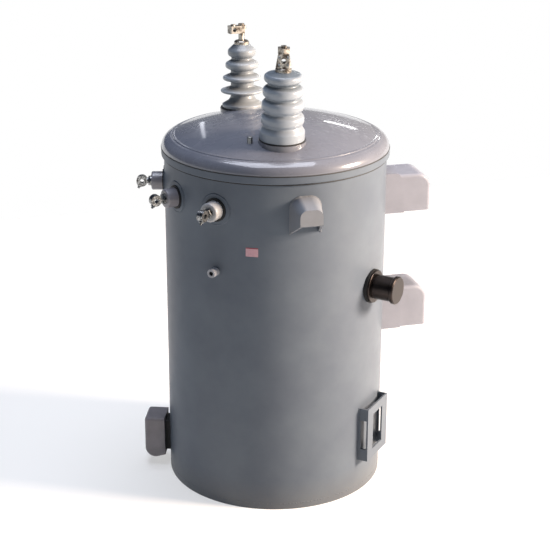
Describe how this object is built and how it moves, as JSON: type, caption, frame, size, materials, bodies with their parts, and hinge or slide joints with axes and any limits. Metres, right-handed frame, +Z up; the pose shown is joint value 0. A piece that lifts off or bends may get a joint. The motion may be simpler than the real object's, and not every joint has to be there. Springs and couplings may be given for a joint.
{
  "type": "pole mounted transformer",
  "caption": "Round grey steel tank with a domed cover, porcelain bushings on top and side, pole hangers and lifting lugs.",
  "frame": {"origin": "centre of the tank's foot rim, on the floor", "axes": "+Z up the tank's axis, +X towards the pole, on the side of the hangers"},
  "size_m": [0.664, 0.594, 1.0451],
  "materials": {
    "tank_paint": "semi-gloss grey enamel on steel",
    "bracket_paint": "satin pale grey enamel on pressed steel",
    "porcelain": "pale grey glaze",
    "gasket_rubber": "black nitrile",
    "terminal_brass": "dull tinned brass",
    "tinned_metal": "tinned",
    "dark_nickel": "dark polished nickel",
    "core_steel": "plain"
  },
  "bodies": {
    "root": {"core_and_windings": "core_steel", "cover": "tank_paint", "cover_band": "tank_paint", "cover_stud": "tinned_metal", "filling_port": "tank_paint", "hv_bushing_back": "porcelain", "hv_bushing_front": "porcelain", "hv_gasket_back": "gasket_rubber", "hv_gasket_front": "gasket_rubber", "hv_terminal_back": "terminal_brass", "hv_terminal_front": "terminal_brass", "lifting_lug_back": "bracket_paint", "lifting_lug_front": "bracket_paint", "low_bracket": "bracket_paint", "low_bracket_pad": "gasket_rubber", "lower_hanger": "bracket_paint", "lv_boss_1": "tank_paint", "lv_boss_2": "tank_paint", "lv_boss_3": "tank_paint", "lv_bushing_1": "porcelain", "lv_bushing_2": "porcelain", "lv_bushing_3": "porcelain", "lv_gasket_1": "gasket_rubber", "lv_gasket_2": "gasket_rubber", "lv_gasket_3": "gasket_rubber", "lv_terminal_1": "tinned_metal", "lv_terminal_2": "tinned_metal", "lv_terminal_3": "tinned_metal", "plate_bracket": "tank_paint", "tank_bottom": "tank_paint", "tank_shell": "tank_paint", "tap_changer_cap": "dark_nickel", "tap_changer_flange": "dark_nickel", "tap_changer_gasket": "gasket_rubber", "upper_hanger": "bracket_paint"}
  },
  "joints": []
}
